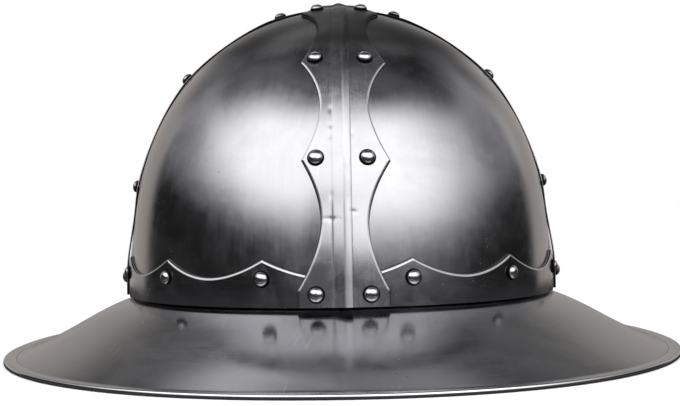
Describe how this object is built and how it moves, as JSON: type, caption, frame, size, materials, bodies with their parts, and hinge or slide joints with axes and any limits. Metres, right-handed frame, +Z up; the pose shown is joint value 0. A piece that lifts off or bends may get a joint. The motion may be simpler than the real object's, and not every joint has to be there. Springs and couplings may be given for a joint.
{
  "type": "kettle hat",
  "caption": "Steel kettle hat: a riveted bowl of plates under crossed scalloped straps, with a scalloped brow band and a wide sloping brim.",
  "frame": {"origin": "under the crown, on the plane that the brim's hem rests on", "axes": "+Z up through the crown, -Y towards the front, +X to the right as the front is looked at"},
  "size_m": [0.3406, 0.3626, 0.1815],
  "materials": {
    "plate_steel": "satin, finely brushed and polished",
    "strap_steel": "satin, polished along the edges",
    "brim_steel": "satin with cloudy hand polishing",
    "rivet_steel": "polished dome"
  },
  "bodies": {
    "root": {"skull_plate_front_left": "plate_steel", "skull_plate_front_right": "plate_steel", "skull_plate_rear_left": "plate_steel", "skull_plate_rear_right": "plate_steel", "brow_band": "strap_steel", "strap_front_to_back": "strap_steel", "strap_side_to_side": "strap_steel", "brim": "brim_steel", "rivet_front_foot_left": "rivet_steel", "rivet_front_foot_right": "rivet_steel", "rivet_front_lower_left": "rivet_steel", "rivet_front_lower_right": "rivet_steel", "rivet_front_upper_left": "rivet_steel", "rivet_front_upper_right": "rivet_steel", "rivet_front_crown_left": "rivet_steel", "rivet_front_crown_right": "rivet_steel", "rivet_rear_foot_left": "rivet_steel", "rivet_rear_foot_right": "rivet_steel", "rivet_rear_lower_left": "rivet_steel", "rivet_rear_lower_right": "rivet_steel", "rivet_rear_upper_left": "rivet_steel", "rivet_rear_upper_right": "rivet_steel", "rivet_rear_crown_left": "rivet_steel", "rivet_rear_crown_right": "rivet_steel", "rivet_left_foot_front": "rivet_steel", "rivet_left_foot_rear": "rivet_steel", "rivet_left_lower_front": "rivet_steel", "rivet_left_lower_rear": "rivet_steel", "rivet_left_upper_front": "rivet_steel", "rivet_left_upper_rear": "rivet_steel", "rivet_left_crown_front": "rivet_steel", "rivet_left_crown_rear": "rivet_steel", "rivet_right_foot_front": "rivet_steel", "rivet_right_foot_rear": "rivet_steel", "rivet_right_lower_front": "rivet_steel", "rivet_right_lower_rear": "rivet_steel", "rivet_right_upper_front": "rivet_steel", "rivet_right_upper_rear": "rivet_steel", "rivet_right_crown_front": "rivet_steel", "rivet_right_crown_rear": "rivet_steel", "rivet_band_01": "rivet_steel", "rivet_band_02": "rivet_steel", "rivet_band_03": "rivet_steel", "rivet_band_04": "rivet_steel", "rivet_band_05": "rivet_steel", "rivet_band_06": "rivet_steel", "rivet_band_07": "rivet_steel", "rivet_band_08": "rivet_steel", "rivet_band_09": "rivet_steel", "rivet_band_10": "rivet_steel", "rivet_band_11": "rivet_steel", "rivet_band_12": "rivet_steel"}
  },
  "joints": []
}
